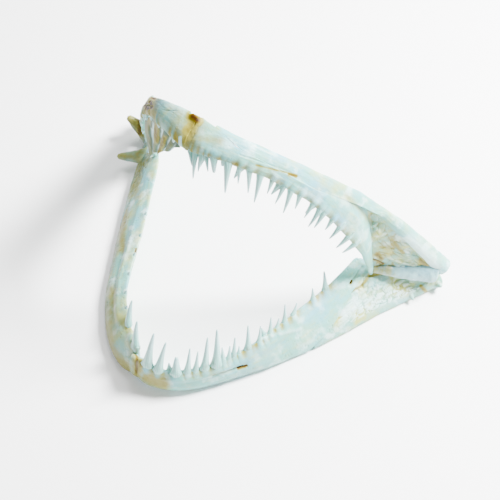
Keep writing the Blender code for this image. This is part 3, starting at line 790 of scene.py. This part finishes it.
def bone_finish(name, creamy=0.25, mottle=0.3, gloss=0.1, soft=0.1, aged=(), grey_stain_and_shade=(), painted_shade=0, pitting=0.5,
                shine=0.25, until=0):
    """Pale mint bone: bluish clouds, pearly and cream patches, fine streaks along its length and pits;
    then the grain's tone, from a slit painted dark as its shadow through rust, straw and honey to pearl, a
    few pearl marks being painted highlights. Two casts, each given as (low share, high share, strength), lay
    honey and grey; the grey cast is painted shade, on the right bar's end also that end's own grey stain,
    and both end past the share until. A grey-brown foot, of the strength given, is painted shade along the
    lower part of the bone's height.
    """
    f = Finish(name, Subsurface_Weight=soft, Subsurface_Scale=0.003, Coat_Weight=gloss, Coat_Roughness=0.15,
               Specular_IOR_Level=shine)
    streaks = f.streaks(30, 14)
    fine = f.noise(1)
    patchy = f.noise(7, 3, seed=5)
    pits = f.cells(1.5).above(0.3, 0.1) * patchy.above(0.48, 0.62) * pitting
    colour = f.mix(f.noise(16, 3).above(0.38, 0.75), MINT, BLUISH)
    colour = f.mix(f.noise(6, seed=3).above(0.48, 0.66) * (0.2 + mottle), colour, PEARL)
    colour = f.mix(f.noise(9, seed=9).above(0.4, 0.74) * (creamy + 0.5 * mottle), colour, CREAM)
    colour = f.mix(streaks.above(0.5, 0.7) * 0.3, colour, CREAM)
    # The grey cast is painted shade; on the right bar's end it is also that end's own grey stain.
    for cast, hue in ((aged, HONEY), (grey_stain_and_shade, ASH)):
        if cast:
            low, high, strength = cast
            cover = f.share.above(low, high) * (patchy.above(0.3, 0.6) * 0.2 + 0.8) * strength
            if until:
                cover = cover * f.share.above(until + 0.12, until)
            colour = f.mix(cover, colour, hue)
    # Painted shade: a grey-brown foot along the lower part of the bone's height.
    if painted_shade:
        foot = f.height.above(0.48, 0.12) * (patchy.above(0.25, 0.6) * 0.5 + 0.5)
        colour = f.mix(foot * painted_shade, colour, ASH)
    colour = f.mix(pits * 0.7, colour, STRAW)
    ragged = f.tone * (f.noise(2.4, 5, seed=13) * 0.9 + 0.55)
    # Pearl for positive tones: pale patches, and the few marks that are painted highlights.
    colour = f.mix(ragged.above(0, 1) * 0.85, colour, PEARL)
    for low, high, hue in ((0, -0.7, HONEY), (-0.6, -1.3, STRAW), (-1.2, -2.2, RUST)):
        colour = f.mix(ragged.above(low, high), colour, hue)
    # Near black for the darkest tones: painted shade in slits and slots, and the darkest brown of some
    # stains.
    colour = f.mix(f.tone.above(-1.9, -2.8), colour, DARK)
    rough = fine * 0.2 + pits * 0.2 + 0.42
    return f.wear(colour, rough, streaks * 0.35 + fine * 0.35 - pits, 0.25)


def tooth_finish():
    """Glassy ivory: cream at the root and bluish towards the tip, with fine lengthwise lines."""
    f = Finish("tooth_ivory", Subsurface_Weight=0.2, Subsurface_Scale=0.002, Coat_Weight=0.3,
               Coat_Roughness=0.1)
    lines = f.streaks(1.5, 26)
    colour = f.mix(f.share.above(0.1, 0.8), MINT, srgb(146, 186, 186))
    colour = f.mix(lines.above(0.45, 0.62) * 0.4, colour, PEARL)
    colour = f.mix(f.noise(5).above(0.5, 0.66) * f.share.above(0.45, 0) * 0.45, colour, STRAW)
    colour = f.mix(f.share.above(0.8, 1) * 0.35, colour, SLATE)
    return f.wear(colour, f.noise(0.9) * 0.12 + 0.26, lines, 0.12)


def gristle_finish():
    """Dried clear gristle: glossy and slate-blue, clouded with pearl."""
    f = Finish("joint_gristle", Subsurface_Weight=0.35, Subsurface_Scale=0.004, Coat_Weight=0.3,
               Coat_Roughness=0.1)
    colour = f.mix(f.noise(6).above(0.3, 0.8), SLATE, srgb(140, 180, 180))
    colour = f.mix(f.share.above(0.45, 0.2) * f.noise(3, 4).above(0.3, 0.6) * 0.8, colour, HONEY)
    return f.wear(colour, f.noise(1.6) * 0.2 + 0.12, f.noise(1.1, 5), 0.25)


# Bones

def relief(points, share, s):
    """Swells, long streaks and fine grain that all the bones share, so that their seams stay level."""
    streak = stacked(share * 26, s * 9, 0)
    return (0.22 * layered(points / 9, 3, 3) + 0.09 * smooth_noise(streak, 5)
            + 0.03 * smooth_noise(streak * 2.4, 6) + 0.04 * layered(points / 2, 3, 8))


def label(name, side):
    return name + ("_left" if side > 0 else "_right")


def tube_piece(names, side, points, grain, height, tone, ends, finish, slot, rings=7, more=()):
    """A piece from a closed grid: raised, kept off the floor, closed at both ends, and joined with more."""
    points = raised(points, height)
    points[..., 2] = np.maximum(points[..., 2], REST_LEVEL)
    grain[..., 2] = tone
    mesh = tube_mesh(*domed(points, grain, *ends, rings), side)
    name, node = (label(name, side) for name in names)
    make_piece(name, *(joined([mesh, *more]) if more else mesh), finish, slot, [node])


def netted(flow, seed):
    """How high a net stands: 0 on the thin lines between cells of the flow, and 1 inside them."""
    warp = flow + 0.32 * stacked(*(smooth_noise(flow * 1.3, seed + k) for k in range(3)))
    first, second = nearest_cells(warp, seed + 9)
    return step(second - first, 0, 0.26)


def build_dentary(side, finish, teeth):
    """Tooth-bearing bone of the lower jaw: the blade, a ledge under its teeth, bosses at the chin and
    swollen tooth roots; behind, its edge is cut along the seam and its top climbs to the mouth's corner.
    """
    share = np.linspace(LOWER_START, DENTARY_END, 640)[:, None]
    depth = lower_depth(side, share)
    low = np.where(share > SEAM[0][0], read(SEAM, share) - OVERLAP / depth, 0)
    points, grain = blade(share, lower_frame(side, share), depth, read(LOWER_THICK, share), low, 1, 0.6, 120)
    s = grain[..., 1]
    outer = step(grain[..., 2], 0, 0.35)
    inner = step(-grain[..., 2], 0, 0.35)
    first, _ = nearest_cells(points / 2.1, 31)
    height = (relief(points, share, s)
              + outer * 0.5 * bell(s, 0.74, 0.08) * step(share, 0.06, 0.2) * step(share, 0.7, 0.5)
              - outer * 0.45 * bell(s, 0.56, 0.09) * step(share, 0.1, 0.25) * step(share, 0.6, 0.45)
              + 0.6 * bell(share, 0.045, 0.03) * (bell(s, 0.12, 0.2) + bell(s, 0.9, 0.14))
              - 0.4 * bell(share, 0, 0.022) - inner * 0.5 * bell(s, 0.5, 0.2) * step(share, 0.1, 0.2)
              - 0.3 * step(layered(points / 8, 2, 44), 0, 0.4) * step(0.34 - first, 0, 0.25))
    root, between = sockets(share, s, teeth, LOWER.length, depth)
    between = between * np.where((side < 0) & (share > EVEN_RIM_FROM), EVEN_RIM, 1)
    lift, tone = marked(points, side, LOWER_MARKS)
    shown = 0.35 + 0.65 * outer
    tube_piece(("lower_jaw_bone", "dentary"), side, points, grain, height + root * shown + lift,
               tone + between * shown, (0.05, 0.2), finish, "bone")


def build_anguloarticular(side, finish):
    """Wedge behind the dentary: raised cells parted by thin yellow lines, drawn out along the bone, over
    a smooth lower margin. Its spines are cones fused into the joint end.
    """
    share = np.linspace(WEDGE_START, 1, 430)[:, None]
    depth = lower_depth(side, share)
    high = read(SEAM, share) + OVERLAP / depth
    high = high + (1 - high) * step(share, DENTARY_END + 0.005, DENTARY_END + 0.022)
    points, grain = blade(share, lower_frame(side, share), depth, read(LOWER_THICK, share), 0, high, 0.6, 120)
    s = grain[..., 1]
    flow = stacked(share * LOWER.length / 4.2, s * depth / 1.7 - share * 14, side)
    net = 1 - (1 - netted(flow, 17)) * (0.35 + 0.65 * step(layered(points / 9, 2, 52), -0.4, 0.2))
    room = step(s * depth, 3.2, 4.6) * step((high - s) * depth, 0.2, 1.8) * step(share, 1, 0.95)
    lift, tone = marked(points, side, WEDGE_MARKS)
    spines = []
    for place, way, length, radius in (SPINES_LEFT if side > 0 else SPINES_RIGHT):
        foot, rise, through, inward = (row[0] for row in lower_frame(side, place))
        base = foot + rise * 0.45 * lower_depth(side, place) + through * 3
        along = np.append(LOWER.along(np.array([[place]])), 0)
        tip = base + unit(np.array(way) - inward) * length
        spine, _ = tooth(base, tip, radius * 0.8, -0.1 * UPWARD, along, 0.34)
        spine = raised(spine, 0.22 * layered(spine / 2.6, 3, 71))
        spines.append(tube_mesh(spine, stacked(place, 0.6, marked(spine, side, WEDGE_MARKS)[1]), side))
    tube_piece(("joint_wedge", "anguloarticular"), side, points, grain,
               relief(points, share, s) + room * (0.4 * net - 0.22) + lift,
               np.where(tone < -0.3, tone, room * (0.75 * net - 0.34) + tone),
               (0.05, 0.35), finish, "porous_bone", more=spines)


def sag(side, share):
    """How much lower the right half's bar lies than the left's."""
    return read(BAR_SAG_RIGHT, share) if side < 0 else 0


def upper_section(side, share):
    """The upper jaw's one oval: depths of the teeth's line, the crest and the suture, how far apart the
    two bones stand, 0 in front and 1 behind, and its thickness.
    """
    lower = sag(side, share)
    root = read(UPPER_ROOT, share)
    crest = read(BAR_TOP, share) + lower
    suture = read(SUTURE, share) + lower * 0.5
    return root, crest, suture, step(share, 0.56, 0.67), read(UPPER_THICK, share)


def build_premaxilla(side, finish, teeth):
    """Tooth-bearing bone of the upper jaw: the lower part of the jaw's one oval, cut along the suture,
    that parts from the bar behind and narrows to a thin rod; swollen tooth roots.
    """
    share = np.linspace(UPPER_START, UPPER_END, 600)[:, None]
    place, drop, inward = upper_frame(share, read(UPPER_INSET, share))
    root, crest, suture, apart, thick = upper_section(side, share)
    top = suture + (read(UPPER_TOP, share) - suture) * step(share, 0.58, 0.62) - OVERLAP
    depth = root - (crest + (top - crest) * apart)
    high = np.clip((root - top) / depth, 0, 1)
    points, grain = blade(share, (place + drop * root, -drop, inward), depth, thick, 0, high, 0.8, 112)
    s = grain[..., 1]
    outer = step(grain[..., 2], 0, 0.35)
    height = (relief(points, share, s)
              + outer * 0.25 * bell(s, 0.45, 0.1) * step(share, 0.12, 0.25) * step(share, 0.75, 0.6)
              + 0.8 * bell(share, 0.035, 0.022) * bell(s, 0.35, 0.2))
    swell, between = sockets(share, 1 - s, teeth, UPPER.length, depth)
    lift, tone = marked(points, side, UPPER_MARKS) * in_sight(side, share)
    shown = 0.35 + 0.65 * outer
    tube_piece(("upper_jaw_bone", "premaxilla"), side, points, grain, height + swell * shown + lift,
               tone + between * shown * 0.7, (0.05, 0.3), finish, "bone")


def build_maxilla(side, finish):
    """Toothless bar along the upper jaw's crest: the upper part of the jaw's one oval in front, and an
    oval of its own behind, swelling to a pitted knob at the joint.
    """
    share = np.linspace(BAR_START, 1, 520)[:, None]
    place, drop, inward = upper_frame(share)
    root, crest, suture, apart, thick = upper_section(side, share)
    foot = suture + (read(BAR_FOOT, share) + sag(side, share) - suture) * step(share, 0.63, 0.67) + OVERLAP
    reach = root + (foot - root) * apart
    depth = reach - crest
    low = np.clip((reach - foot) / depth, 0, 1)
    thick = thick + (read(BAR_THICK, share) - thick) * apart
    points, grain = blade(share, (place + drop * reach, -drop, inward), depth, thick, low, 1, 0.8, 96)
    s = grain[..., 1]
    first, _ = nearest_cells(points / 1.7, 61)
    pitted = step(share, 0.2, 0.32) * in_sight(side, share) if side < 0 else step(share, 0.97, 1) * 0.4
    height = (relief(points, share, s) + 0.4 * bell(share, 0.97, 0.03) * bell(s, 0.6, 0.3)
              + step(share, 0.86, 0.95) * 0.35 * layered(points / 3.5, 3, 29)
              - 0.6 * pitted * step(0.42 - first, 0, 0.3))
    lift, tone = marked(points, side, UPPER_MARKS) * in_sight(side, share)
    tube_piece(("jaw_bar", "maxilla"), side, points, grain, height + lift,
               tone - pitted * 1.2 * step(0.36 - first, 0, 0.3), (0.1, 0.35), finish, "bone", 16)


# Dried skin

def build_corner_skin(side, finish):
    """Crumpled skin between the premaxilla's rear edge and the maxilla: a sheet of straight rulings with
    raised cells, drawn out towards the joint, parted by yellow creases.
    """
    t = np.linspace(0, 1, 240)[:, None]
    share = np.linspace(*SKIN_NEAR, len(t))[:, None]
    near, _, _ = upper_edge(share, UPPER_TOP, 0.3, 0.5)
    share = np.linspace(*SKIN_FAR, len(t))[:, None]
    place, drop, inward = upper_frame(share)
    reach = read(BAR_FOOT, share) + sag(side, share) - 0.3
    far = place + drop * reach + inward * (read(BAR_THICK, share) * 0.5)
    u = np.linspace(0, 1, 140)
    grid = near[:, None] + (far - near)[:, None] * u[:, None]
    width = np.linalg.norm(far - near, axis=1)[:, None]
    away = pixels(grid) - SKIN_CENTRE
    turn = np.arctan2(-away[..., 1], -away[..., 0])
    flow = stacked(np.linalg.norm(away, axis=-1) / 10, turn * 11, 0)
    net = netted(flow, 81)
    room = step(np.minimum(u, 1 - u) * width, 0, 2) * step(t, 0, 0.1)
    folds = 1 - 2 * np.abs(smooth_noise(flow * np.array([0.35, 0.8, 1]), 84)) - 0.3
    crumple = 1 if side > 0 else 0.25
    height = crumple * room * (0.26 * net - 0.13 + folds * 0.7 + 0.7 * layered(grid / 8, 3, 85))
    lift, tone = marked(grid, side, SKIN_MARKS, False)
    grid = raised(grid, height + lift, closed=False)
    patchy = 0.4 * net - 0.16 + folds * 0.3 + layered(grid / 6, 2, 88) * 0.6
    tone = tone + crumple * room * patchy * step(np.abs(tone), 0.6, 0.1)
    make_piece(label("corner_skin", side), *sheet_mesh(grid, stacked(t, u, tone), side), finish, "dried_skin",
               [label("corner_membrane", side)])


def build_gum_skin(finish):
    """Skin that hangs inside the right half's teeth, in pleats that spread like a fan from the mouth's
    corner: they are counted by the angle about it as the camera sees it. Their gloss is painted: the ridges
    pale as highlights, the valleys grey as shade.
    """
    share = np.linspace(GUM_HANG[0][0], GUM_HANG[-1][0], 440)[:, None]
    top, drop, inward = upper_edge(share, UPPER_ROOT, 0.2, 0.85)
    free = drop * read(GUM_HANG, share) + inward * read(GUM_LEAN, share)
    u = np.linspace(0, 1, 90)
    grid = top[:, None] + free[:, None] * u[:, None]
    away = pixels(mirrored(grid, -1)) - FAN_CENTRE
    turn = np.arctan2(away[..., 0], -away[..., 1]) * FAN_PLEATS + 0.9 * smooth_noise(grid / 6, 95)
    ridge = (0.5 + 0.5 * np.cos(turn)) ** 1.8
    room = step(u, 0.02, 0.3) * step(share, 0.05, 0.12) * step(share, 0.76, 0.66)
    height = room * (1.5 * ridge - 0.5 + 0.25 * layered(grid / 3, 3, 96))
    lift, tone = marked(grid, -1, SKIN_MARKS, False)
    grid = raised(grid, height + lift, closed=False)
    # Painted light on the pleats: ridges pale as highlights, valleys darker as shade; stains stay in the
    # valleys.
    tone = np.minimum(tone, 0) * (1 - ridge) + room * (1.4 * ridge ** 2 - 0.2)
    make_piece("gum_skin_right", *sheet_mesh(grid, stacked(share, u, tone), -1), finish, "dried_skin",
               ["gum_membrane_right"])


# Gristle

def build_joint_gristle(side, finish):
    """Clear band over the joint: an oval section along a line, pointed in front and broad behind."""
    fore, rear = np.array(PAD_FORE), np.array(PAD_REAR)
    axis = unit(rear - fore)
    one = unit(np.cross(axis, UPWARD))
    t = np.linspace(0, 1, 90)[:, None]
    angle = np.arange(56) * TAU / 56
    size = PAD_SIZE * (0.36 + 0.84 * np.sin(0.55 * pi * t) ** 0.9)
    ring = np.cos(angle)[:, None] * one * 0.8 + np.sin(angle)[:, None] * np.cross(axis, one)
    ring = ring - 0.5 * (ring @ BACK)[..., None] * BACK
    points = (fore + (rear - fore) * t + BACK * 0.8)[:, None] + ring * size[..., None]
    tube_piece(("joint_gristle", "joint_pad"), side, points, stacked(t, 0.5 + 0.5 * np.sin(angle), 0),
               0.8 * layered(points / 5, 4, 41), 0, (0.5, 0.35), finish, "gristle")


def build_midline(name, node, ways, depth, thick, half, finish, marks, swell):
    """Pad that fills the midline between two bones: the bones' own oval section, swollen at its top."""
    x = np.linspace(-half, half, 26)[:, None]
    points, grain = blade(0 * x, ways, depth, thick, 0, 1, 0.8, 96)
    points[..., 0] = x
    lift, grain[..., 2] = marked(points, 1, marks)
    dip = 1 - (x / half) ** 2
    points = raised(points, 0.3 * layered(points / 2, 4, 33) + dip * swell(grain[..., 1]) - 0.15 + lift)
    points[..., 0] = np.clip(points[..., 0], -half - 0.2, half + 0.2)
    points[..., 2] = np.maximum(points[..., 2], REST_LEVEL)
    make_piece(name, *tube_mesh(*domed(points, grain, 0.01, 0.01, 3), 1), finish, "gristle", [node])


# Stage

LIGHTS = (
    # name, way from the object by the view's right, up and back, distance, size (mm) and watts
    ("key", (0.85, 0.75, 0.8), 700, 200, 46),
    ("fill", (-0.8, -0.2, 1), 900, 700, 3.5),
    ("top", (0.1, 1, 0.5), 800, 400, 7))
WORLD_STRENGTH = 0.42
LAMP_AIM = 40
FLOOR = 3


def add_stage():
    """A pale floor, and soft light from panels above and beside the camera."""
    mesh = bpy.data.meshes.new("floor")
    mesh.from_pydata([(-FLOOR, -FLOOR, 0), (FLOOR, -FLOOR, 0), (FLOOR, FLOOR, 0), (-FLOOR, FLOOR, 0)],
                     [], [(0, 1, 2, 3)])
    floor = placed("floor", mesh)
    f = Finish("floor_paper")
    paper = f.noise(60, 2)
    white = f.mix(paper, srgb(252, 252, 252), srgb(249, 250, 250))
    mesh.materials.append(f.wear(white, paper * 0.05 + 0.88, paper, 0.05))
    world = bpy.data.worlds.new("studio")
    world.use_nodes = True
    sky = world.node_tree.nodes["Background"].inputs
    sky["Color"].default_value = (0.97, 0.985, 1, 1)
    sky["Strength"].default_value = WORLD_STRENGTH
    bpy.context.scene.world = world
    for name, way, far, size, power in LIGHTS:
        lamp = bpy.data.lights.new(name, "AREA")
        lamp.size = size * MM
        lamp.energy = power
        back = unit(RIGHT * way[0] + UP * way[1] + BACK * way[2])
        side = unit(np.cross(UPWARD, back))
        placed(name, lamp, (side, np.cross(back, side), back), ORIGIN + UPWARD * LAMP_AIM + back * far)


def main():
    add_camera()
    add_stage()
    bone_left = bone_finish("jaw_bone_left", creamy=0.15, mottle=0.25, pitting=0.25)
    # The right lower bone's grey-brown foot is painted shade.
    bone_right = bone_finish("jaw_bone_right", creamy=0.5, mottle=0.7, painted_shade=0.85, aged=(0.5, 0.1, 0.2),
                             pitting=0.9)
    wedge_left = bone_finish("joint_wedge_left", creamy=0.8, mottle=0.7, aged=(-1, -0.5, 0.12))
    # The grey cast over the right wedge is painted shade.
    wedge_right = bone_finish("joint_wedge_right", creamy=0.9, mottle=0.2, grey_stain_and_shade=(0.3, 0.5, 0.45))
    bar_left = bone_finish("jaw_bar_left", creamy=0.35, mottle=0.5, pitting=0.2)
    # The grey cast over the right upper bones' seen end: partly their own stain, partly painted shade.
    bar_right = bone_finish("jaw_bar_right", creamy=0.4, mottle=0.2, gloss=0, grey_stain_and_shade=(0.06, 0.26, 0.8),
                            shine=0.05, until=0.42)
    skin = bone_finish("dried_skin", creamy=1, mottle=0.7, gloss=0.2, aged=(-1, -0.5, 0.25), pitting=0)
    # The grey over the gum skin is painted shade.
    pleats = bone_finish("gum_skin", creamy=0.9, mottle=0, gloss=0, soft=0, grey_stain_and_shade=(-1, -0.5, 0.8),
                         pitting=0, shine=0.05, until=0.5)
    amber = bone_finish("midline_gristle", creamy=0.4, mottle=0.2, soft=0, pitting=0)
    ivory = tooth_finish()
    clear = gristle_finish()

    seen = seen_teeth("lower", -1, LOWER_RIGHT_TEETH, LOWER_RIGHT_STUBS)
    small = small_teeth("lower", -1, LOWER_RIGHT_SMALL)
    rows = {"lower_left": seen_teeth("lower", 1, LOWER_LEFT_TEETH, LOWER_LEFT_STUBS),
            "lower_right": [a + b for a, b in zip(seen, small)],
            "upper_left": seen_teeth("upper", 1, UPPER_LEFT_TEETH, UPPER_LEFT_STUBS),
            "upper_right": small_teeth("upper", -1, UPPER_RIGHT_SMALL)}
    inner = {"upper_left": small_teeth("upper", 1, UPPER_INNER, INNER_INSET)[0],
             "lower_left": small_teeth("lower", 1, LOWER_INNER, INNER_INSET)[0]}
    for name, (parts, _) in rows.items():
        make_piece("teeth_" + name, *joined(parts + inner.get(name, [])), ivory, "teeth")

    build_dentary(1, bone_left, rows["lower_left"][1])
    build_dentary(-1, bone_right, rows["lower_right"][1])
    build_premaxilla(1, bone_left, rows["upper_left"][1])
    build_premaxilla(-1, bar_right, rows["upper_right"][1])
    for side, wedge, bar in ((1, wedge_left, bar_left), (-1, wedge_right, bar_right)):
        build_anguloarticular(side, wedge)
        build_maxilla(side, bar)
        build_corner_skin(side, skin if side > 0 else bar)
        build_joint_gristle(side, clear)
    build_gum_skin(pleats)
    build_midline("chin_gristle", "lower_symphysis", lower_frame(1, 0), *CHIN_PAD, amber, LOWER_MARKS,
                  lambda s: 0.3 * bell(s, 0.2, 0.3))
    place, drop, inward = upper_frame(0)
    build_midline("crown_gristle", "upper_symphysis", (place + drop * CROWN_DROP, -drop, inward), *CROWN_PAD,
                  amber, UPPER_MARKS, lambda s: 0.2 * bell(s, 0.9, 0.22))


main()
